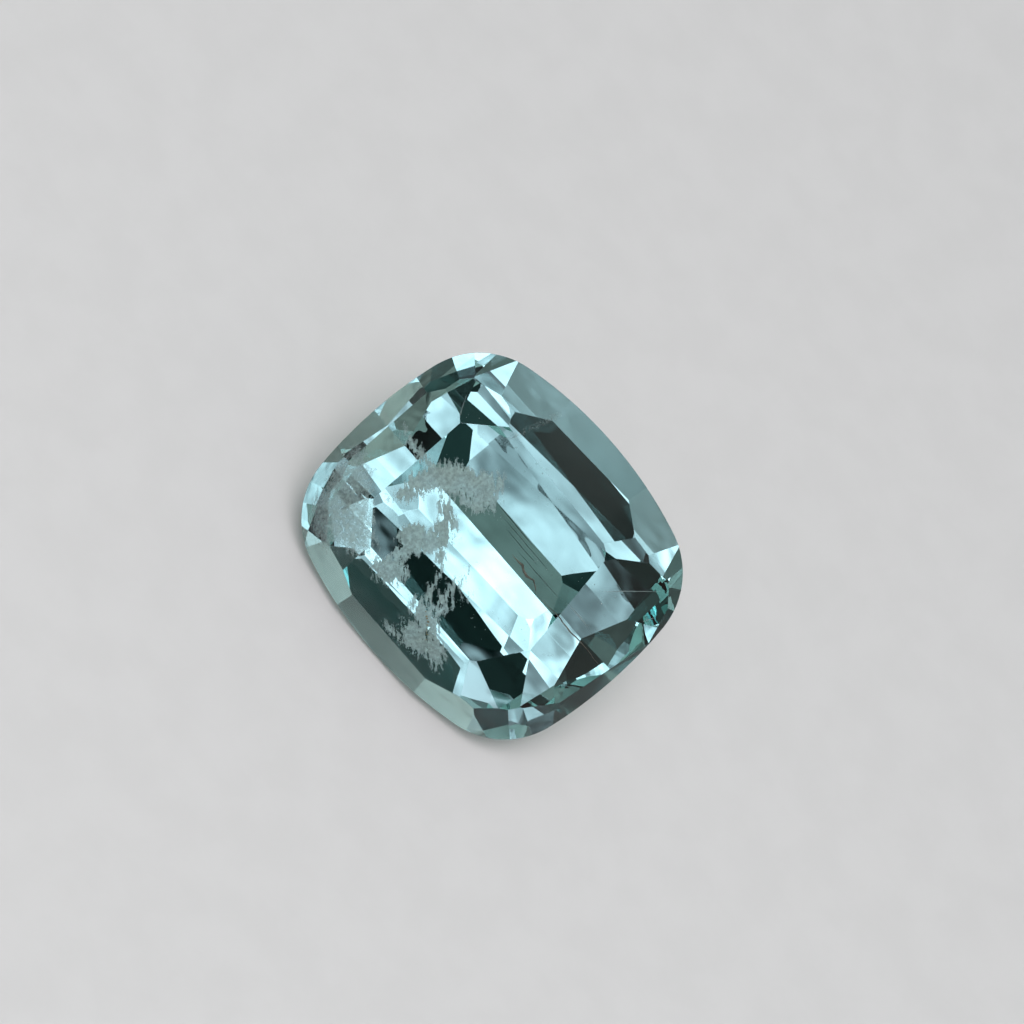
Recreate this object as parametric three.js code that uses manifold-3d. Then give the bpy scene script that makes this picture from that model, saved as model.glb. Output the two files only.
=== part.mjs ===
// A cushion-shaped tourmaline, cut and polished, lying on one long pavilion facet.
// Millimetres, +Z up. The stone is drawn table up and is turned onto its facet at the end.
import * as THREE from "three";
import { mergeVertices } from "three/addons/utils/BufferGeometryUtils.js";
import Module from "manifold-3d";

// Outline of the girdle, as tangent arcs
const halfLength = 3.40;
const halfWidth = 3.00;
const cornerRadius = 1.64;
const cornerCentreX = 1.67;
const cornerCentreY = 1.15;
const arcSegments = 14;

// Heights above and below the girdle
const tableHeight = 1.00;
const girdleThickness = 0.06;
const keelDepth = 2.75;

// Pavilion: two long sides meet in a keel, two steep ends and four corners close it
const sideSlope = 41;
const keelHalfLength = 1.75;
const endSlope = 58;
const cornerSlope = 56;
const cornerReach = 3.62;
const cornerTurns = [38, 142, 218, 322];

// The back long side bends a little at a bow-tie of thin facets, which meet at one point
const bowSlope = 41.875;
const bowTurn = 0.19;
const bowCentreX = 0.15;
const bowCentreY = 1.40;
const outerSlope = 42.75;

// Narrow tiers of small facets above and below the girdle
const rimStep = 15;
const lowerRimSlope = 72;
const upperRimSlope = 50;
const backRimSlope = 45;
const frontRimSlope = 56;
const rimSideWidth = 35;

// Crown facets: direction they face, slope, and distance of their table edge from the middle
const crownFacets = [
  { name: "right end", turn: 9, slope: 29, reach: 1.80 },
  { name: "back right corner", turn: 40, slope: 20, reach: 2.13 },
  { name: "back right side", turn: 64, slope: 27, reach: 2.04 },
  { name: "back main", turn: 88, slope: 30, reach: 1.66 },
  { name: "back left side", turn: 113, slope: 29, reach: 2.18 },
  { name: "back left corner", turn: 134, slope: 25, reach: 2.26 },
  { name: "back left end", turn: 157, slope: 31, reach: 2.42 },
  { name: "left end", turn: 180, slope: 31, reach: 2.14 },
  { name: "front left end", turn: 203, slope: 31, reach: 2.42 },
  { name: "front left corner", turn: 226, slope: 24, reach: 2.27 },
  { name: "front left side", turn: 248, slope: 26, reach: 2.17 },
  { name: "front main", turn: 270, slope: 24, reach: 1.72 },
  { name: "front right side", turn: 306, slope: 20, reach: 2.17 },
  { name: "front right corner", turn: 331, slope: 16.5, reach: 2.05 },
];

const CROWN = 1;
const PAVILION = -1;
const cutterSize = 30;

const wasm = await Module();
wasm.setup();

const radians = THREE.MathUtils.degToRad;

// Radius of the arc that touches a side at its middle and the corner arc at its end.
function sideRadius(along, across) {
  return (along ** 2 + across ** 2 - cornerRadius ** 2) / (2 * (across - cornerRadius));
}

const longSideRadius = sideRadius(cornerCentreX, halfWidth - cornerCentreY);
const endRadius = sideRadius(cornerCentreY, halfLength - cornerCentreX);
const longSideCentre = halfWidth - longSideRadius;
const endCentre = halfLength - endRadius;

// Directions in which the arcs of one quarter of the outline meet.
const longSideJoin = Math.atan2(cornerCentreY - longSideCentre, cornerCentreX);
const endJoin = Math.atan2(cornerCentreY, cornerCentreX - endCentre);

function cushionOutline() {
  const shape = new THREE.Shape();
  const half = Math.PI;
  const arc = (x, y, radius, from, to) => shape.absarc(x, y, radius, from, to, false);
  arc(endCentre, 0, endRadius, -endJoin, endJoin);
  arc(cornerCentreX, cornerCentreY, cornerRadius, endJoin, longSideJoin);
  arc(0, longSideCentre, longSideRadius, longSideJoin, half - longSideJoin);
  arc(-cornerCentreX, cornerCentreY, cornerRadius, half - longSideJoin, half - endJoin);
  arc(-endCentre, 0, endRadius, half - endJoin, half + endJoin);
  arc(-cornerCentreX, -cornerCentreY, cornerRadius, half + endJoin, half + longSideJoin);
  arc(0, -longSideCentre, longSideRadius, half + longSideJoin, 2 * half - longSideJoin);
  arc(cornerCentreX, -cornerCentreY, cornerRadius, 2 * half - longSideJoin, 2 * half - endJoin);
  return shape;
}

// Distance from the middle to the tangent of the outline that faces the given turn.
function outlineReach(turn) {
  const x = Math.abs(Math.cos(radians(turn)));
  const y = Math.abs(Math.sin(radians(turn)));
  const direction = Math.atan2(y, x);
  if (direction > longSideJoin) {
    return longSideCentre * y + longSideRadius;
  }
  if (direction < endJoin) {
    return endCentre * x + endRadius;
  }
  return cornerCentreX * x + cornerCentreY * y + cornerRadius;
}

function toManifold(geometry) {
  geometry.deleteAttribute("normal");
  geometry.deleteAttribute("uv");
  const merged = mergeVertices(geometry, 1e-5);
  const vertProperties = new Float32Array(merged.attributes.position.array);
  const triVerts = new Uint32Array(merged.index.array);
  return new wasm.Manifold(new wasm.Mesh({ numProp: 3, vertProperties, triVerts }));
}

function toGeometry(solid) {
  const mesh = solid.getMesh();
  const geometry = new THREE.BufferGeometry();
  geometry.setAttribute("position", new THREE.BufferAttribute(mesh.vertProperties, 3));
  geometry.setIndex(new THREE.BufferAttribute(mesh.triVerts, 1));
  return geometry;
}

// A block with the outline of the girdle. Its flat top is the table.
function cushionBlock() {
  const below = keelDepth + 1;
  const depth = below + tableHeight;
  const options = { depth, bevelEnabled: false, curveSegments: arcSegments };
  const block = new THREE.ExtrudeGeometry(cushionOutline(), options);
  block.translate(0, 0, -below);
  return toManifold(block);
}

function facetNormal(side, turn, slope) {
  const lean = Math.sin(radians(slope));
  const x = lean * Math.cos(radians(turn));
  const y = lean * Math.sin(radians(turn));
  return new THREE.Vector3(x, y, side * Math.cos(radians(slope)));
}

// Grinds one facet: takes away everything beyond the plane through the point.
function grind(solid, normal, point) {
  const box = new THREE.BoxGeometry(cutterSize, cutterSize, cutterSize);
  box.translate(0, 0, cutterSize / 2);
  const up = new THREE.Vector3(0, 0, 1);
  box.applyQuaternion(new THREE.Quaternion().setFromUnitVectors(up, normal));
  box.translate(...normal.clone().multiplyScalar(normal.dot(point)));
  return solid.subtract(toManifold(box));
}

// A facet whose plane lies a given reach from the axis, at one height.
function grindAtReach(solid, side, turn, slope, reach, height) {
  const x = reach * Math.cos(radians(turn));
  const y = reach * Math.sin(radians(turn));
  return grind(solid, facetNormal(side, turn, slope), new THREE.Vector3(x, y, height));
}

// The front long side is one flat facet, which the stone lies on. The back one has the bow-tie.
function grindLongSides(stone) {
  let solid = stone;
  for (const turn of [90, -90]) {
    solid = grindAtReach(solid, PAVILION, turn, sideSlope, 0, -keelDepth);
  }
  const bowHeight = bowCentreY * Math.tan(radians(sideSlope)) - keelDepth;
  const bowCentre = new THREE.Vector3(bowCentreX, bowCentreY, bowHeight);
  solid = grind(solid, facetNormal(PAVILION, 90, outerSlope), bowCentre);
  for (const turn of [90 - bowTurn, 90 + bowTurn]) {
    solid = grind(solid, facetNormal(PAVILION, turn, bowSlope), bowCentre);
  }
  return solid;
}

function grindEndsAndCorners(stone) {
  let solid = stone;
  for (const turn of [0, 180]) {
    solid = grindAtReach(solid, PAVILION, turn, endSlope, keelHalfLength, -keelDepth);
  }
  for (const turn of cornerTurns) {
    solid = grindAtReach(solid, PAVILION, turn, cornerSlope, cornerReach, -girdleThickness);
  }
  return solid;
}

// The back rim is broad and flat, the front rim is steep.
function rimSlope(turn) {
  if (Math.abs(turn - 90) <= rimSideWidth) {
    return backRimSlope;
  }
  if (Math.abs(turn - 270) <= rimSideWidth) {
    return frontRimSlope;
  }
  return upperRimSlope;
}

function grindRims(stone) {
  let solid = stone;
  for (let turn = 0; turn < 360; turn += rimStep) {
    const reach = outlineReach(turn);
    solid = grindAtReach(solid, CROWN, turn, rimSlope(turn), reach, 0);
    solid = grindAtReach(solid, PAVILION, turn, lowerRimSlope, reach, -girdleThickness);
  }
  return solid;
}

function grindCrown(stone) {
  let solid = stone;
  for (const { turn, slope, reach } of crownFacets) {
    solid = grindAtReach(solid, CROWN, turn, slope, reach, tableHeight);
  }
  return solid;
}

// Lays the stone on its front long side, with the middle of its box over the origin.
function layDown(geometry) {
  geometry.rotateX(radians(sideSlope));
  geometry.computeBoundingBox();
  const middle = geometry.boundingBox.getCenter(new THREE.Vector3());
  geometry.translate(-middle.x, -middle.y, -geometry.boundingBox.min.z);
  return geometry;
}

function tourmaline() {
  let stone = cushionBlock();
  stone = grindLongSides(stone);
  stone = grindEndsAndCorners(stone);
  stone = grindRims(stone);
  stone = grindCrown(stone);
  const material = new THREE.MeshStandardMaterial({ color: 0x79b0a8, roughness: 0.03, metalness: 0 });
  const mesh = new THREE.Mesh(layDown(toGeometry(stone)), material);
  mesh.name = "tourmaline";
  return mesh;
}

const part = new THREE.Group();
part.add(tourmaline());

export default part;
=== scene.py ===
"""A cut tourmaline, clear blue-green with veils inside, lying on one long pavilion facet."""
import math

import bmesh
import bpy
from mathutils import Matrix, Vector
from mathutils.bvhtree import BVHTree


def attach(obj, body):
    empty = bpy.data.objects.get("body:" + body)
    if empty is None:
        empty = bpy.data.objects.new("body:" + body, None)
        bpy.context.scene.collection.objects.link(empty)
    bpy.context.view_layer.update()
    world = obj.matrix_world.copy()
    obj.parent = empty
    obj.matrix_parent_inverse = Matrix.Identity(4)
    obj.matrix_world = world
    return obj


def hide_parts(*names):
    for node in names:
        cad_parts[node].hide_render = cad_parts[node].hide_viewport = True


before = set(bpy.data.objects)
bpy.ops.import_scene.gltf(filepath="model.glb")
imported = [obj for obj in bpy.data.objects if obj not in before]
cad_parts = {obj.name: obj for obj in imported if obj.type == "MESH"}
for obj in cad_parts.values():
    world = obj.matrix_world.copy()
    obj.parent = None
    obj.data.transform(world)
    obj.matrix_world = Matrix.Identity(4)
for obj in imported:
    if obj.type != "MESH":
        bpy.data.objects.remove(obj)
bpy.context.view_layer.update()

MM = 0.001

# The stone's own axes: x along its length, y across it, z out of the table, zero in the girdle's middle
REST_SLOPE = math.radians(41)
HALF_LENGTH = 3.40 * MM
KEEL_DEPTH = 2.75 * MM
TABLE_HEIGHT = 1.00 * MM

# Camera square to the table, rolled so that the stone lies across the picture as photographed
CAMERA_REACH = 150 * MM
PICTURE_WIDTH = 19.357 * MM
CAMERA_ROLL = math.radians(48.85)
AIM_RIGHT = 0.376 * MM
AIM_UP = 0.6465 * MM
SENSOR_WIDTH = 36.0
CLIP_START = 10 * MM

# Polished skin and body colour
REFRACTIVE_INDEX = 1.63
ABSORPTION_DENSITY = 84.0
ABSORPTION_COLOUR = (0.03, 0.77, 0.74, 1.0)
SHADOW_TINT = (0.62, 0.68, 0.67, 1.0)
WAVE_SCALE = 650.0
WAVE_HEIGHT = 0.002 * MM
FACET_EDGE_WIDTH = 0.012 * MM
FACET_EDGE_ANGLE = math.radians(8)
FLAT_ANGLE = math.radians(0.1)
TOGETHER = 1e-7

# Studio
LAMP_REACH = 0.30
DAYLIGHT = (1.0, 1.0, 1.14, 1.0)
FOLD_SCALE = 30.0
FILL_REACH = 0.20
FILL_SIZE = 0.12
FILL_POWER = 0.26
FILL_LEAN = math.radians(20)
# Painted shade: a darker floor colour for every ray but the camera's, which darkens the floor seen inside
# the stone
FLOOR_SHADE_IN_STONE = (0.40, 0.40, 0.385, 1.0)
FLOOR_SIZE = 2.0
FLOOR_GAP = 0.002 * MM
FLOOR_GLOW = 0.03
BACKDROP = (0.60, 0.61, 0.62, 1.0)
SQUARE = [(-1, -1), (1, -1), (1, 1), (-1, 1)]

# Softboxes around the camera, with a dark gap where the camera stands: low and high angle across the stone
# and along it, in degrees off the table's normal, then strength at the low and high side across, and the
# share of each half that fades out along and across
SOFTBOXES = {
    "main_softbox": ((3.0, 46), (-34, 34), (1.4, 2.1), (0.35, 0.08)),
    "low_softbox": ((-14, -4.5), (-34, 34), (1.1, 0.7), (0.35, 0.4)),
    "strip_light": ((-10.6, -8.7), (-18, 20), (0.9, 0.9), (0.35, 0.6)),
    "side_softbox": ((0, 42), (36, 49), (1.3, 1.3), (0.3, 0.1)),
    "right_softbox": ((-34, -8), (-52, -10), (0.6, 0.6), (0.3, 0.3)),
    "far_softbox": ((-46, -20), (22, 62), (1.3, 0.6), (0.2, 0.25)),
}

# Room light by angle across the stone in degrees, from the front over the camera to the back
ROOM_LEVELS = [
    (-180, 0.30),
    (-46, 0.28),
    (-24, 0.26),
    (-19, 0.06),
    (-8, 0.012),
    (6, 0.012),
    (40, 0.05),
    (55, 0.42),
    (180, 0.30),
]
DIM_LEVEL = 0.15
DIM_TINT = (0.55, 1.0, 0.97)
ROOM_TINT = (0.9, 1.0, 0.97)
LEFT_GLOW = (0.42, 0.35, 0.33, 1.0)
RIGHT_GLOW = (0.03, 0.03, 0.03, 1.0)
END_START = 0.62
END_FULL = 0.95

# Grey veils below the crown, each made of lobes in the table's plane:
# middle x and y, half length and half width in millimetres, and turn in degrees
UPPER_VEIL = [
    (-0.95, 0.68, 0.34, 0.22, 62),
    (-1.10, 0.45, 0.62, 0.24, 8),
    (-1.45, 0.26, 0.46, 0.26, 42),
    (-0.82, 0.26, 0.26, 0.14, 30),
    (-1.74, -0.05, 0.50, 0.22, 72),
    (-1.78, -0.52, 0.28, 0.14, 62),
    (-2.32, 0.13, 0.34, 0.08, -5),
]
MIDDLE_VEIL = [
    (-1.02, -0.22, 0.34, 0.13, -22),
    (-0.80, -0.55, 0.34, 0.20, 118),
    (-1.04, -0.98, 0.36, 0.28, 30),
    (-0.52, -0.84, 0.30, 0.08, -35),
    (-0.93, -1.72, 0.34, 0.26, 35),
    (-1.02, -1.36, 0.24, 0.17, 80),
]
CORNER_VEIL = [
    (-2.66, -1.26, 0.52, 0.38, 110),
    (-2.12, -1.60, 0.66, 0.36, 155),
    (-2.38, -1.92, 0.56, 0.36, 140),
    (-1.82, -1.88, 0.42, 0.24, 20),
    (-2.28, -1.12, 0.34, 0.10, -45),
    (-2.92, -0.82, 0.24, 0.16, 95),
]
LOWER_VEIL = [
    (0.20, -1.82, 0.40, 0.19, -12),
    (0.32, -2.22, 0.34, 0.20, -12),
    (0.72, -2.08, 0.34, 0.18, -25),
    (0.14, -1.38, 0.44, 0.07, 97),
    (-0.06, -1.52, 0.32, 0.06, 118),
    (0.28, -1.50, 0.28, 0.05, 76),
    (-0.02, -2.45, 0.16, 0.05, 0),
]
FILM_BACKLIGHT = 0.3
FILM_SHADOW = 0.2
BORDER_COVER = 0.35
VEIL_DEPTH = 0.06
VEIL_STEP = 0.04
VEIL_FRINGE = 0.12
STREAK_ANGLE = math.radians(-41)
STREAK_STRETCH = 3.5

# Grains: most turn about each axis in radians, and least and most share of the grain size along each axis
GRAIN_SPIN = (6.3, 6.3, 6.3)
GRAIN_LEAST = (0.35, 0.35, 0.2)
GRAIN_MOST = (1.2, 1.0, 0.6)

# Lines below the crown: points in the table's plane, in millimetres
CRACK = [(0.36, 0.17), (0.62, 0.19), (0.86, 0.13), (1.02, 0.18), (1.16, 0.07), (1.22, 0.04)]
CRACK_TAIL = [(1.26, 0.04), (1.70, 0.07), (2.15, 0.05), (2.60, 0.07), (3.00, 0.04)]
GROWTH_TUBES = [
    [(-0.72, 0.62), (-0.10, 0.60), (0.62, 0.58)],
    [(-0.35, 0.52), (0.40, 0.51), (1.10, 0.50)],
    [(-0.10, 0.42), (0.45, 0.41), (0.90, 0.41)],
    [(0.35, 0.31), (0.95, 0.30), (1.60, 0.31)],
]
PALE_LINES = [
    [(1.72, 0.36), (2.05, 0.37), (2.40, 0.34)],
    [(1.95, 0.95), (2.30, 1.36), (2.75, 1.86)],
    [(2.92, 1.20), (2.98, 1.32), (3.02, 1.42)],
    [(-2.45, 1.52), (-2.32, 1.30), (-2.20, 1.10)],
]
SPECK_ROW = [(-1.32, 1.52), (-1.20, 1.95), (-1.10, 2.30), (-1.05, 2.55)]
PINPOINT_ROWS = [
    [(0.3, -0.3), (1.0, 0.5), (1.9, 0.9), (2.4, 0.2)],
    [(0.6, -1.3), (1.5, -0.8), (2.3, -0.6)],
    [(-2.2, 1.3), (-1.4, 1.2), (-0.6, 1.5), (0.4, 1.2)],
]
OCHRE_ROW = [(0.12, -1.74), (0.30, -1.86), (0.50, -2.06)]


def add(tree, kind, inputs=None, **settings):
    """Adds a node, and sets or links its inputs by name or number."""
    node = tree.nodes.new(kind)
    for name, value in settings.items():
        setattr(node, name, value)
    for name, value in (inputs or {}).items():
        if isinstance(value, bpy.types.NodeSocket):
            tree.links.new(value, node.inputs[name])
        else:
            node.inputs[name].default_value = value
    return node


def maths(tree, operation, *values):
    """Result of a math node, with its inputs in order."""
    return add(tree, "ShaderNodeMath", dict(enumerate(values)), operation=operation).outputs[0]


def vector_maths(tree, operation, first, second):
    return add(tree, "ShaderNodeVectorMath", {0: first, 1: second}, operation=operation).outputs[0]


def scaled(tree, vector, factor):
    return add(tree, "ShaderNodeVectorMath", {0: vector, "Scale": factor}, operation="SCALE").outputs[0]


def along_axis(tree, vector, axis):
    """How far a vector reaches along an axis."""
    product = add(tree, "ShaderNodeVectorMath", {0: vector, 1: axis}, operation="DOT_PRODUCT")
    return product.outputs["Value"]


def remapped(tree, value, from_low=0.0, from_high=1.0, to_low=0.0, to_high=1.0, curve="LINEAR"):
    """A value moved from one range to another, and kept inside it."""
    return add(tree, "ShaderNodeMapRange", {
        "Value": value,
        "From Min": from_low,
        "From Max": from_high,
        "To Min": to_low,
        "To Max": to_high,
    }, interpolation_type=curve).outputs["Result"]


def blended(tree, share, first, second, blend="MIX"):
    """Two colours mixed by a share of the second."""
    inputs = {0: share, 6: first, 7: second}
    return add(tree, "ShaderNodeMix", inputs, data_type="RGBA", blend_type=blend).outputs[2]


def random_vector(tree, low, high, seed):
    inputs = {0: low, 1: high, "Seed": seed}
    return add(tree, "FunctionNodeRandomValue", inputs, data_type="FLOAT_VECTOR").outputs[0]


def new_material(name):
    material = bpy.data.materials.new(name)
    material.use_nodes = True
    material.node_tree.nodes.clear()
    return material, material.node_tree


def new_object(name, data):
    thing = bpy.data.objects.new(name, data)
    bpy.context.scene.collection.objects.link(thing)
    return thing


def place_of_stone(node):
    """Matrix from the stone's own axes to the row frame, found from the keel of the CAD node."""
    lowest = [v.co for v in node.data.vertices if v.co.z < TOGETHER]
    keel = max(point.y for point in lowest)
    turn = Matrix.Rotation(REST_SLOPE, 4, "X")
    shift = Vector((0, keel, 0)) - turn @ Vector((0, 0, -KEEL_DEPTH))
    return Matrix.Translation(shift) @ turn


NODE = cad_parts["tourmaline"]
PLACE = place_of_stone(NODE)
STONE_X = PLACE.to_3x3() @ Vector((1, 0, 0))
STONE_Y = PLACE.to_3x3() @ Vector((0, 1, 0))
STONE_Z = PLACE.to_3x3() @ Vector((0, 0, 1))
MIDDLE = PLACE.translation
SKIN = BVHTree.FromObject(NODE, bpy.context.evaluated_depsgraph_get())


def below_skin(x, y, depth):
    """Point at a depth under the crown, straight below a place in the table's plane. All in millimetres."""
    start = PLACE @ Vector((x * MM, y * MM, 2 * TABLE_HEIGHT))
    hit = SKIN.ray_cast(start, -STONE_Z)[0]
    return hit and hit - STONE_Z * depth * MM


def colour_grain_group():
    """Shader group: soft mottling between two colours, with the mask for other uses."""
    group = bpy.data.node_groups.new("colour_grain", "ShaderNodeTree")
    face = group.interface
    face.new_socket("Place", in_out="INPUT", socket_type="NodeSocketVector")
    face.new_socket("Grain Scale", in_out="INPUT", socket_type="NodeSocketFloat")
    face.new_socket("Roughening", in_out="INPUT", socket_type="NodeSocketFloat")
    face.new_socket("Dark", in_out="INPUT", socket_type="NodeSocketColor")
    face.new_socket("Light", in_out="INPUT", socket_type="NodeSocketColor")
    face.new_socket("Colour", in_out="OUTPUT", socket_type="NodeSocketColor")
    face.new_socket("Mask", in_out="OUTPUT", socket_type="NodeSocketFloat")
    given = add(group, "NodeGroupInput").outputs
    noise = add(group, "ShaderNodeTexNoise", {
        "Vector": given["Place"],
        "Scale": given["Grain Scale"],
        "Detail": 5.0,
        "Roughness": given["Roughening"],
    })
    mask = remapped(group, noise.outputs["Fac"], from_low=0.32, from_high=0.68, curve="SMOOTHSTEP")
    colour = blended(group, mask, given["Dark"], given["Light"])
    add(group, "NodeGroupOutput", {"Colour": colour, "Mask": mask})
    return group


COLOUR_GRAIN = colour_grain_group()


def colour_grain(tree, scale, roughening, dark, light):
    place = add(tree, "ShaderNodeTexCoord").outputs["Object"]
    return add(tree, "ShaderNodeGroup", {
        "Place": place,
        "Grain Scale": scale,
        "Roughening": roughening,
        "Dark": dark,
        "Light": light,
    }, node_tree=COLOUR_GRAIN).outputs


def polished_tourmaline():
    """Clear stone: plain transmission and absorption, faint colour zones, facets a hair off flat."""
    material, tree = new_material("polished_tourmaline")
    zones = colour_grain(
        tree, scale=420.0, roughening=0.45,
        dark=(0.90, 0.96, 0.95, 1), light=(0.97, 1.0, 0.99, 1))
    place = add(tree, "ShaderNodeTexCoord").outputs["Object"]
    wave = add(tree, "ShaderNodeTexNoise", {"Vector": place, "Scale": WAVE_SCALE, "Detail": 2.0})
    lap = add(tree, "ShaderNodeBump", {"Height": wave.outputs["Fac"], "Distance": WAVE_HEIGHT})
    skin = add(tree, "ShaderNodeBsdfPrincipled", {
        "Base Color": zones["Colour"],
        "Roughness": 0.0,
        "IOR": REFRACTIVE_INDEX,
        "Transmission Weight": 1.0,
        "Normal": lap.outputs["Normal"],
    })
    clear = add(tree, "ShaderNodeBsdfTransparent", {"Color": SHADOW_TINT})
    shadow = add(tree, "ShaderNodeLightPath").outputs["Is Shadow Ray"]
    surface = add(tree, "ShaderNodeMixShader", {0: shadow, 1: skin.outputs[0], 2: clear.outputs[0]})
    body = add(tree, "ShaderNodeVolumeAbsorption", {
        "Color": ABSORPTION_COLOUR,
        "Density": ABSORPTION_DENSITY,
    })
    add(tree, "ShaderNodeOutputMaterial", {"Surface": surface.outputs[0], "Volume": body.outputs[0]})
    return material


def grainy(name, scale, roughness, dark, light):
    """Matt mineral with a mottled colour, for what is sealed in the stone."""
    material, tree = new_material(name)
    mottle = colour_grain(tree, scale=scale, roughening=0.6, dark=dark, light=light)
    dull = remapped(tree, mottle["Mask"], to_low=roughness, to_high=roughness * 0.7)
    matt = add(tree, "ShaderNodeBsdfPrincipled", {"Base Color": mottle["Colour"], "Roughness": dull})
    add(tree, "ShaderNodeOutputMaterial", {"Surface": matt.outputs[0]})
    return material


def new_growth(name, **inputs):
    """An empty geometry tree with named inputs, and its input sockets."""
    tree = bpy.data.node_groups.new(name, "GeometryNodeTree")
    face = tree.interface
    face.new_socket("Geometry", in_out="INPUT", socket_type="NodeSocketGeometry")
    for label, kind in inputs.items():
        face.new_socket(label.replace("_", " "), in_out="INPUT", socket_type="NodeSocket" + kind)
    face.new_socket("Material", in_out="INPUT", socket_type="NodeSocketMaterial")
    face.new_socket("Geometry", in_out="OUTPUT", socket_type="NodeSocketGeometry")
    return tree, add(tree, "NodeGroupInput").outputs


def joined(tree, *shapes):
    whole = add(tree, "GeometryNodeJoinGeometry")
    for shape in shapes:
        tree.links.new(shape, whole.inputs[0])
    return whole.outputs[0]


def finish_growth(tree, shapes, material):
    whole = add(tree, "GeometryNodeRealizeInstances", {"Geometry": shapes}).outputs[0]
    made = add(tree, "GeometryNodeSetMaterial", {"Geometry": whole, "Material": material}).outputs[0]
    add(tree, "NodeGroupOutput", {0: made})
    return tree


def grains_on(tree, points, size, seed):
    """Small uneven grains, one on each point, turned at random."""
    grain = add(tree, "GeometryNodeMeshIcoSphere", {"Radius": 0.5, "Subdivisions": 1}).outputs[0]
    sides = random_vector(tree, GRAIN_LEAST, GRAIN_MOST, seed)
    return add(tree, "GeometryNodeInstanceOnPoints", {
        "Points": points,
        "Instance": grain,
        "Rotation": random_vector(tree, (0, 0, 0), GRAIN_SPIN, seed),
        "Scale": scaled(tree, sides, size),
    }).outputs[0]


def streaked_place(tree):
    """Position measured along and across the streaks of the veils, shortened along them."""
    along = STONE_X * math.cos(STREAK_ANGLE) + STONE_Y * math.sin(STREAK_ANGLE)
    axes = (along / STREAK_STRETCH, STONE_Z.cross(along), STONE_Z)
    position = add(tree, "GeometryNodeInputPosition").outputs[0]
    sides = [along_axis(tree, position, axis) for axis in axes]
    return add(tree, "ShaderNodeCombineXYZ", dict(enumerate(sides))).outputs[0]


def veil_growth():
    """A thin film with a ragged, streaked border, and loose grains on and around it."""
    tree, given = new_growth(
        "veil_growth", Density="Float", Grain_Size="Float", Lace_Scale="Float", Raggedness="Float",
        Thickness="Float", Crumple="Float", Seed="Int")
    noise = add(tree, "ShaderNodeTexNoise", {
        "Vector": streaked_place(tree),
        "Scale": given["Lace Scale"],
        "Detail": 6.0,
        "Roughness": 0.7,
    })
    lace = maths(tree, "SUBTRACT", noise.outputs["Fac"], 0.5)
    margin = add(tree, "GeometryNodeInputNamedAttribute", {"Name": "margin"}).outputs[0]
    edge = maths(tree, "MULTIPLY_ADD", lace, given["Raggedness"], margin)

    sheet = add(tree, "GeometryNodeSubdivideMesh", {"Mesh": given["Geometry"], "Level": 2}).outputs[0]
    bare = add(tree, "FunctionNodeCompare", {0: edge, 1: 0.0}, operation="LESS_THAN").outputs[0]
    film = add(tree, "GeometryNodeDeleteGeometry", {"Geometry": sheet, "Selection": bare}, domain="FACE")
    facing = add(tree, "GeometryNodeInputNormal").outputs[0]
    offset = scaled(tree, facing, maths(tree, "MULTIPLY", lace, given["Crumple"]))
    film = add(tree, "GeometryNodeSetPosition", {"Geometry": film.outputs[0], "Offset": offset}).outputs[0]
    back = add(tree, "GeometryNodeFlipFaces", {"Mesh": film}).outputs[0]
    front = add(tree, "GeometryNodeExtrudeMesh", {
        "Mesh": film,
        "Offset Scale": given["Thickness"],
        "Individual": False,
    }).outputs[0]
    shell = joined(tree, back, front)
    shell = add(tree, "GeometryNodeMergeByDistance", {"Geometry": shell, "Distance": TOGETHER}).outputs[0]

    share = remapped(tree, edge, from_low=-0.05, from_high=0.05)
    points = add(tree, "GeometryNodeDistributePointsOnFaces", {
        "Mesh": given["Geometry"],
        "Density": maths(tree, "MULTIPLY", share, given["Density"]),
        "Seed": given["Seed"],
    }).outputs["Points"]
    grains = grains_on(tree, points, given["Grain Size"], given["Seed"])
    return finish_growth(tree, joined(tree, shell, grains), given["Material"])


def line_growth():
    """Thin wavering threads along guide lines, fading out at both ends."""
    tree, given = new_growth(
        "line_growth", Thickness="Float", Waver="Float", Wave_Scale="Float", Points="Int")
    path = add(tree, "GeometryNodeMeshToCurve", {"Mesh": given["Geometry"]}).outputs[0]
    path = add(tree, "GeometryNodeResampleCurve", {"Curve": path, "Count": given["Points"]}).outputs[0]
    noise = add(tree, "ShaderNodeTexNoise", {"Scale": given["Wave Scale"], "Detail": 3.0})
    drift = vector_maths(tree, "SUBTRACT", noise.outputs["Color"], (0.5, 0.5, 0.5))
    drift = scaled(tree, drift, given["Waver"])
    path = add(tree, "GeometryNodeSetPosition", {"Geometry": path, "Offset": drift}).outputs[0]
    along = add(tree, "GeometryNodeSplineParameter").outputs["Factor"]
    arch = maths(tree, "SINE", maths(tree, "MULTIPLY", along, math.pi))
    body = maths(tree, "MULTIPLY_ADD", noise.outputs["Fac"], 1.2, 0.25)
    taper = maths(tree, "MAXIMUM", maths(tree, "MULTIPLY", arch, body), 0.08)
    ring = add(tree, "GeometryNodeCurvePrimitiveCircle", {
        "Resolution": 6,
        "Radius": given["Thickness"],
    }).outputs[0]
    thread = add(tree, "GeometryNodeCurveToMesh", {
        "Curve": path,
        "Profile Curve": ring,
        "Scale": taper,
        "Fill Caps": True,
    }).outputs[0]
    return finish_growth(tree, thread, given["Material"])


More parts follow.
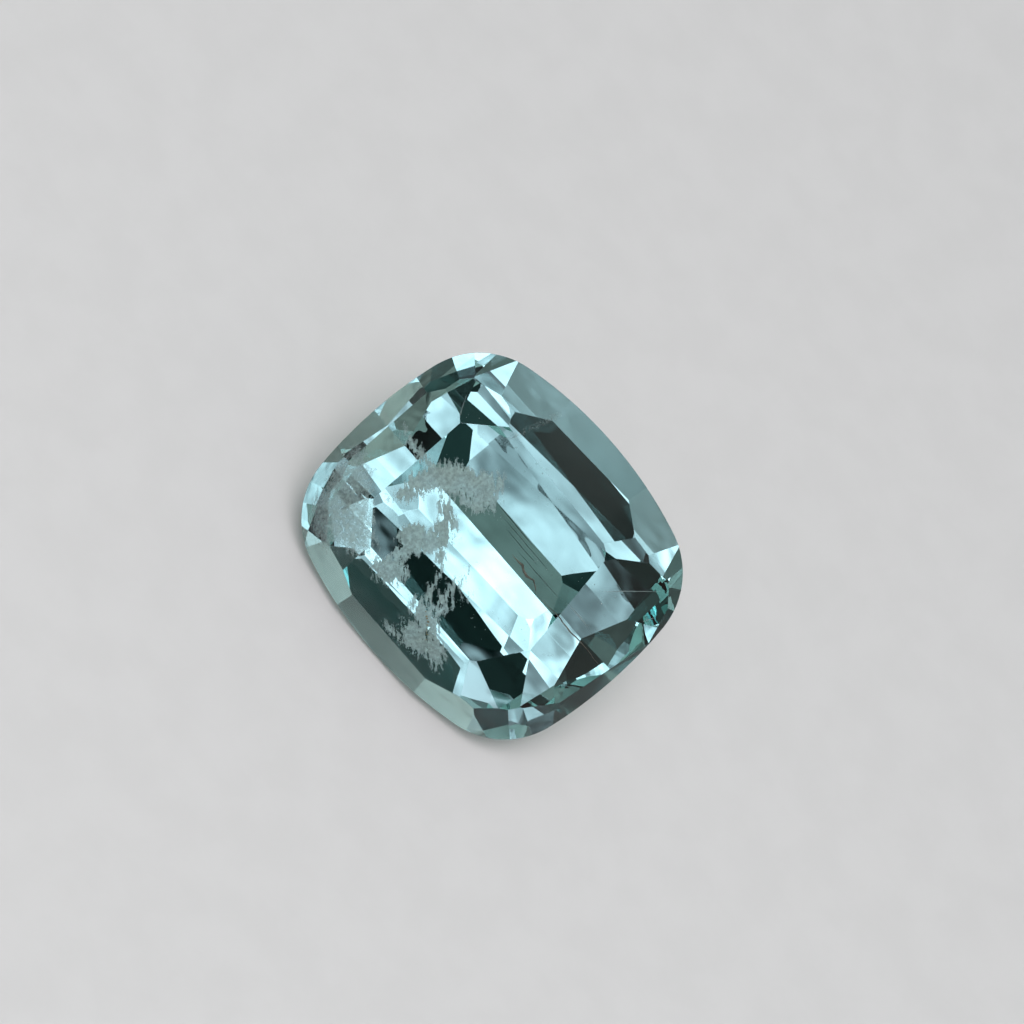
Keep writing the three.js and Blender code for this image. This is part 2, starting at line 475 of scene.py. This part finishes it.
def speck_growth():
    """Loose grains strewn along guide lines."""
    tree, given = new_growth("speck_growth", Count="Int", Spread="Float", Grain_Size="Float", Seed="Int")
    path = add(tree, "GeometryNodeMeshToCurve", {"Mesh": given["Geometry"]}).outputs[0]
    points = add(tree, "GeometryNodeCurveToPoints", {"Curve": path, "Count": given["Count"]}).outputs[0]
    stray = random_vector(tree, (-1, -1, -1), (1, 1, 1), given["Seed"])
    stray = scaled(tree, stray, given["Spread"])
    points = add(tree, "GeometryNodeSetPosition", {"Geometry": points, "Offset": stray}).outputs[0]
    grains = grains_on(tree, points, given["Grain Size"], given["Seed"])
    return finish_growth(tree, grains, given["Material"])


def grow(name, guide, tree, material, **values):
    """Runs a tree on a guide mesh, and keeps the result as a plain piece, not mirrored in the facets."""
    source = new_object(name + "_guide", guide)
    modifier = source.modifiers.new("growth", "NODES")
    modifier.node_group = tree
    values = {label.replace("_", " "): value for label, value in values.items()}
    values["Material"] = material
    for socket in tree.interface.items_tree:
        if socket.in_out == "INPUT" and socket.name in values:
            modifier[socket.identifier] = values[socket.name]
    grown = source.evaluated_get(bpy.context.evaluated_depsgraph_get())
    mesh = bpy.data.meshes.new_from_object(grown)
    mesh.name = name
    bpy.data.objects.remove(source)
    piece = new_object(name, mesh)
    piece.visible_glossy = False
    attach(piece, "root")


def depth_in_lobe(lobe, x, y):
    """How far a place lies inside a lobe's border, in millimetres, and below zero outside."""
    middle_x, middle_y, half_length, half_width, turn = lobe
    cosine, sine = math.cos(math.radians(turn)), math.sin(math.radians(turn))
    along = (x - middle_x) * cosine + (y - middle_y) * sine
    across = (y - middle_y) * cosine - (x - middle_x) * sine
    return half_width * (1 - math.hypot(along / half_length, across / half_width))


def veil_guide(name, lobes):
    """A sheet of small squares under the crown, which carries its distance inside the lobes' border."""
    points = []
    margins = []
    corners = {}
    cells = round(HALF_LENGTH / MM / VEIL_STEP)
    for column in range(-cells, cells):
        for row in range(-cells, cells):
            x, y = column * VEIL_STEP, row * VEIL_STEP
            margin = max(depth_in_lobe(lobe, x, y) for lobe in lobes)
            point = below_skin(x, y, VEIL_DEPTH) if margin > -VEIL_FRINGE else None
            if point:
                corners[column, row] = len(points)
                points.append(point)
                margins.append(margin)
    faces = []
    for column, row in corners:
        square = [(column, row), (column + 1, row), (column + 1, row + 1), (column, row + 1)]
        if all(corner in corners for corner in square):
            faces.append([corners[corner] for corner in square])
    mesh = bpy.data.meshes.new(name)
    mesh.from_pydata(points, [], faces)
    mesh.attributes.new("margin", "FLOAT", "POINT").data.foreach_set("value", margins)
    return mesh


def line_guide(name, lines, depth):
    """Lines at a depth under the crown, in millimetres."""
    points = []
    edges = []
    for line in lines:
        first = len(points)
        points += [below_skin(x, y, depth) for x, y in line]
        edges += [(i, i + 1) for i in range(first, len(points) - 1)]
    mesh = bpy.data.meshes.new(name)
    mesh.from_pydata(points, edges, [])
    return mesh


def veil_film(name, thinnest, thickest, fade):
    """Grey mineral film, brownish in places, thin enough to let some light through."""
    material, tree = new_material(name)
    mottle = colour_grain(
        tree, scale=14000.0, roughening=0.65,
        dark=(0.56, 0.69, 0.70, 1), light=(0.78, 0.93, 0.94, 1))
    stain = colour_grain(
        tree, scale=1800.0, roughening=0.5,
        dark=(0.93, 0.90, 0.87, 1), light=(1, 1, 1, 1))
    colour = blended(tree, 1.0, mottle["Colour"], stain["Colour"], "MULTIPLY")
    inside = add(tree, "ShaderNodeAttribute", attribute_name="margin").outputs["Fac"]
    border = remapped(tree, inside, from_low=-VEIL_FRINGE / 2, from_high=fade, to_low=BORDER_COVER)
    shadow = add(tree, "ShaderNodeLightPath").outputs["Is Shadow Ray"]
    kept = remapped(tree, shadow, to_low=1.0, to_high=FILM_SHADOW)
    cover = remapped(tree, mottle["Mask"], to_low=thinnest, to_high=thickest)
    cover = maths(tree, "MULTIPLY", maths(tree, "MULTIPLY", cover, border), kept)
    matt = add(tree, "ShaderNodeBsdfPrincipled", {"Base Color": colour, "Roughness": 0.6})
    backlit = add(tree, "ShaderNodeBsdfTranslucent", {"Color": colour})
    film = add(tree, "ShaderNodeMixShader", {0: FILM_BACKLIGHT, 1: matt.outputs[0], 2: backlit.outputs[0]})
    clear = add(tree, "ShaderNodeBsdfTransparent")
    surface = add(tree, "ShaderNodeMixShader", {0: cover, 1: clear.outputs[0], 2: film.outputs[0]})
    add(tree, "ShaderNodeOutputMaterial", {"Surface": surface.outputs[0]})
    return material


def add_veils():
    tree = veil_growth()
    dense = veil_film("veil_dense", thinnest=0.75, thickest=1.0, fade=0.06)
    thin = veil_film("veil_thin", thinnest=0.30, thickest=0.75, fade=0.22)
    veils = [
        ("upper_veil", UPPER_VEIL, dense),
        ("middle_veil", MIDDLE_VEIL, dense),
        ("corner_veil", CORNER_VEIL, thin),
        ("lower_veil", LOWER_VEIL, dense),
    ]
    for seed, (name, lobes, film) in enumerate(veils, 1):
        grow(name, veil_guide(name, lobes), tree, film, Density=8.0e8, Grain_Size=0.022 * MM,
             Lace_Scale=14000.0, Raggedness=0.9, Thickness=0.003 * MM, Crumple=0.02 * MM, Seed=seed)


def add_lines():
    tree = line_growth()
    brown = grainy(
        "crack_brown", scale=9000.0, roughness=0.6,
        dark=(0.12, 0.10, 0.085, 1), light=(0.38, 0.34, 0.29, 1))
    dark = grainy(
        "growth_tube_grey", scale=7000.0, roughness=0.4,
        dark=(0.04, 0.06, 0.06, 1), light=(0.16, 0.20, 0.20, 1))
    pale = grainy(
        "healed_line_pale", scale=7000.0, roughness=0.4,
        dark=(0.45, 0.52, 0.52, 1), light=(0.80, 0.86, 0.86, 1))
    wave = dict(Wave_Scale=4000.0, Points=60)
    grow("crack", line_guide("crack", [CRACK], depth=0.05), tree, brown,
         Thickness=0.034 * MM, Waver=0.12 * MM, **wave)
    grow("crack_tail", line_guide("crack_tail", [CRACK_TAIL], depth=0.05), tree, brown,
         Thickness=0.014 * MM, Waver=0.06 * MM, **wave)
    grow("growth_tubes", line_guide("growth_tubes", GROWTH_TUBES, depth=0.12), tree, dark,
         Thickness=0.009 * MM, Waver=0.02 * MM, **wave)
    grow("healed_lines", line_guide("healed_lines", PALE_LINES, depth=0.08), tree, pale,
         Thickness=0.008 * MM, Waver=0.03 * MM, **wave)


def add_specks():
    tree = speck_growth()
    pale = grainy(
        "speck_grey", scale=9000.0, roughness=0.5,
        dark=(0.30, 0.34, 0.34, 1), light=(0.72, 0.76, 0.75, 1))
    ochre = grainy(
        "speck_ochre", scale=9000.0, roughness=0.5,
        dark=(0.20, 0.13, 0.05, 1), light=(0.55, 0.38, 0.12, 1))
    grow("speck_row", line_guide("speck_row", [SPECK_ROW], depth=0.15), tree, pale,
         Count=170, Spread=0.06 * MM, Grain_Size=0.022 * MM, Seed=3)
    grow("pinpoints", line_guide("pinpoints", PINPOINT_ROWS, depth=0.32), tree, pale,
         Count=26, Spread=0.28 * MM, Grain_Size=0.022 * MM, Seed=5)
    grow("ochre_specks", line_guide("ochre_specks", [OCHRE_ROW], depth=0.045), tree, ochre,
         Count=9, Spread=0.02 * MM, Grain_Size=0.06 * MM, Seed=8)


def add_stone():
    """The faceted stone: a merged copy of the CAD node with hair-fine worn facet edges."""
    work = bmesh.new()
    work.from_mesh(NODE.data)
    bmesh.ops.remove_doubles(work, verts=work.verts, dist=TOGETHER)
    bmesh.ops.dissolve_limit(work, angle_limit=FLAT_ANGLE, verts=work.verts, edges=work.edges)
    sharp = [edge for edge in work.edges if edge.calc_face_angle(0) > FACET_EDGE_ANGLE]
    bmesh.ops.bevel(
        work, geom=sharp, offset=FACET_EDGE_WIDTH, segments=1, affect="EDGES", clamp_overlap=True)
    mesh = bpy.data.meshes.new("faceted_stone")
    work.to_mesh(mesh)
    work.free()
    mesh.materials.append(polished_tourmaline())
    stone = new_object("faceted_stone", mesh)
    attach(stone, "root")
    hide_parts("tourmaline")


def add_camera():
    roll_x, roll_y = math.cos(CAMERA_ROLL), math.sin(CAMERA_ROLL)
    right = STONE_X * roll_x + STONE_Y * roll_y
    up = STONE_Y * roll_x - STONE_X * roll_y
    aim = MIDDLE + right * AIM_RIGHT + up * AIM_UP
    data = bpy.data.cameras.new("camera")
    data.sensor_width = SENSOR_WIDTH
    data.lens = SENSOR_WIDTH * CAMERA_REACH / PICTURE_WIDTH
    data.clip_start = CLIP_START
    camera = new_object("camera", data)
    camera.matrix_world = Matrix.LocRotScale(
        aim + STONE_Z * CAMERA_REACH,
        Matrix((right, up, STONE_Z)).transposed(),
        None,
    )
    bpy.context.scene.camera = camera


def folds(tree, place, least, most):
    """Strength in soft patches between two values, as on creased cloth."""
    noise = add(tree, "ShaderNodeTexNoise", {"Vector": place, "Scale": FOLD_SCALE, "Detail": 1.0})
    return remapped(tree, noise.outputs["Fac"], from_low=0.3, from_high=0.7, to_low=least, to_high=most)


def softbox_glow(name, strengths, soft_edges, half_size):
    """Uneven emission over a square from -1 to 1, between two strengths along Y, soft at the edges."""
    material, tree = new_material(name)
    place = add(tree, "ShaderNodeTexCoord").outputs["Object"]
    axes = add(tree, "ShaderNodeSeparateXYZ", {0: place}).outputs
    near, far = strengths
    strength = remapped(tree, axes["Y"], from_low=-1.0, to_low=near, to_high=far)
    true_place = vector_maths(tree, "MULTIPLY", place, half_size)
    strength = maths(tree, "MULTIPLY", strength, folds(tree, true_place, least=0.25, most=1.7))
    for axis, soft in zip("XY", soft_edges):
        size = maths(tree, "ABSOLUTE", axes[axis])
        fade = remapped(tree, size, from_low=1.0 - soft, to_low=1.0, to_high=0.0, curve="SMOOTHSTEP")
        strength = maths(tree, "MULTIPLY", strength, fade)
    glow = add(tree, "ShaderNodeEmission", {"Color": DAYLIGHT, "Strength": strength})
    add(tree, "ShaderNodeOutputMaterial", {"Surface": glow.outputs[0]})
    material.cycles.emission_sampling = "FRONT_BACK"
    return material


def square_mesh(name, half, height, material):
    mesh = bpy.data.meshes.new(name)
    mesh.from_pydata([(half * x, half * y, height) for x, y in SQUARE], [], [(0, 1, 2, 3)])
    mesh.materials.append(material)
    return mesh


def add_softbox(name, across, along, strengths, soft_edges):
    """A panel over the table that fills a range of angles across and along the stone."""
    low_y, high_y = [math.tan(math.radians(angle)) for angle in across]
    low_x, high_x = [math.tan(math.radians(angle)) for angle in along]
    half_size = Vector(((high_x - low_x) / 2, (high_y - low_y) / 2, 1))
    glow = softbox_glow(name + "_glow", strengths, soft_edges, half_size)
    panel = new_object(name, square_mesh(name, 1, 0, glow))
    toward = STONE_Z + STONE_X * (low_x + high_x) / 2 + STONE_Y * (low_y + high_y) / 2
    turn = Matrix((STONE_X, STONE_Y, STONE_Z)).transposed()
    panel.matrix_world = Matrix.LocRotScale(MIDDLE + toward * LAMP_REACH, turn, half_size * LAMP_REACH)
    panel.visible_camera = False
    panel.visible_shadow = False


def add_softboxes():
    for name, (across, along, strengths, soft_edges) in SOFTBOXES.items():
        add_softbox(name, across, along, strengths, soft_edges)


def add_fill():
    """A soft lamp beside the camera, for what is matt: the floor and what is sealed in the stone."""
    data = bpy.data.lights.new("fill_light", "AREA")
    data.shape = "DISK"
    data.size = FILL_SIZE
    data.energy = FILL_POWER
    turn = PLACE.to_3x3() @ Matrix.Rotation(-FILL_LEAN, 3, "X")
    lamp = new_object("fill_light", data)
    lamp.matrix_world = Matrix.LocRotScale(MIDDLE + turn @ Vector((0, 0, FILL_REACH)), turn, None)
    lamp.visible_glossy = False
    lamp.visible_transmission = False


def pale_floor():
    """Plain paper to the camera, and a painted shade of it, darker, for every other ray, such as the floor
    seen inside the stone; with a faint even glow.
    """
    material, tree = new_material("pale_floor")
    paper = colour_grain(
        tree, scale=900.0, roughening=0.5,
        dark=(0.565, 0.56, 0.54, 1), light=(0.58, 0.575, 0.555, 1))
    # Painted shade: only camera rays see the paper colour, all other rays see the darker painted floor
    # shade
    seen = add(tree, "ShaderNodeLightPath").outputs["Is Camera Ray"]
    matt = add(tree, "ShaderNodeBsdfPrincipled", {
        "Base Color": blended(tree, seen, FLOOR_SHADE_IN_STONE, paper["Colour"]),
        "Roughness": 0.9,
        "Emission Color": paper["Colour"],
        "Emission Strength": FLOOR_GLOW,
    })
    add(tree, "ShaderNodeOutputMaterial", {"Surface": matt.outputs[0]})
    return material


def add_floor():
    floor = new_object("floor", square_mesh("floor", FLOOR_SIZE / 2, -FLOOR_GAP, pale_floor()))


def room_ramp(tree, share):
    """Colour of the room by the share of a full turn across the stone."""
    ramp = add(tree, "ShaderNodeValToRGB", {"Fac": share})
    elements = ramp.color_ramp.elements
    while len(elements) < len(ROOM_LEVELS):
        elements.new(0.5)
    for element, (degrees, level) in zip(elements, ROOM_LEVELS):
        tint = DIM_TINT if level < DIM_LEVEL else ROOM_TINT
        element.position = (degrees + 180) / 360
        element.color = (*[level * part for part in tint], 1)
    return ramp.outputs["Color"]


def room_light(tree):
    """Colour of the room around the stone, and the strength of its patches."""
    look = add(tree, "ShaderNodeTexCoord").outputs["Generated"]
    across = along_axis(tree, look, STONE_Y)
    angle = maths(tree, "ARCTAN2", across, along_axis(tree, look, STONE_Z))
    room = room_ramp(tree, remapped(tree, angle, from_low=-math.pi, from_high=math.pi))
    end = along_axis(tree, look, STONE_X)
    ends = blended(tree, remapped(tree, end, from_low=-1.0), RIGHT_GLOW, LEFT_GLOW)
    aside = remapped(
        tree, maths(tree, "ABSOLUTE", end), from_low=END_START, from_high=END_FULL, curve="SMOOTHSTEP")
    return blended(tree, aside, room, ends), folds(tree, look, least=0.35, most=1.6)


def add_world():
    """Soft room light, and a pale backdrop where the camera looks past the floor."""
    world = bpy.data.worlds.new("studio")
    world.use_nodes = True
    tree = world.node_tree
    tree.nodes.clear()
    seen = add(tree, "ShaderNodeLightPath").outputs["Is Camera Ray"]
    colour, strength = room_light(tree)
    room = add(tree, "ShaderNodeBackground", {"Color": colour, "Strength": strength})
    backdrop = add(tree, "ShaderNodeBackground", {"Color": BACKDROP})
    mix = add(tree, "ShaderNodeMixShader", {0: seen, 1: room.outputs[0], 2: backdrop.outputs[0]})
    add(tree, "ShaderNodeOutputWorld", {"Surface": mix.outputs[0]})
    bpy.context.scene.world = world


def set_light_paths():
    """Enough bounces for light that turns many times inside the stone."""
    scene = bpy.context.scene
    scene.cycles.max_bounces = 9
    scene.cycles.glossy_bounces = 9
    scene.cycles.transmission_bounces = 9
    scene.cycles.transparent_max_bounces = 12
    scene.cycles.sample_clamp_indirect = 3.0
    scene.cycles.caustics_refractive = False
    scene.cycles.caustics_reflective = False
    scene.view_settings.view_transform = "Standard"


add_stone()
add_veils()
add_lines()
add_specks()
add_camera()
add_softboxes()
add_fill()
add_floor()
add_world()
set_light_paths()
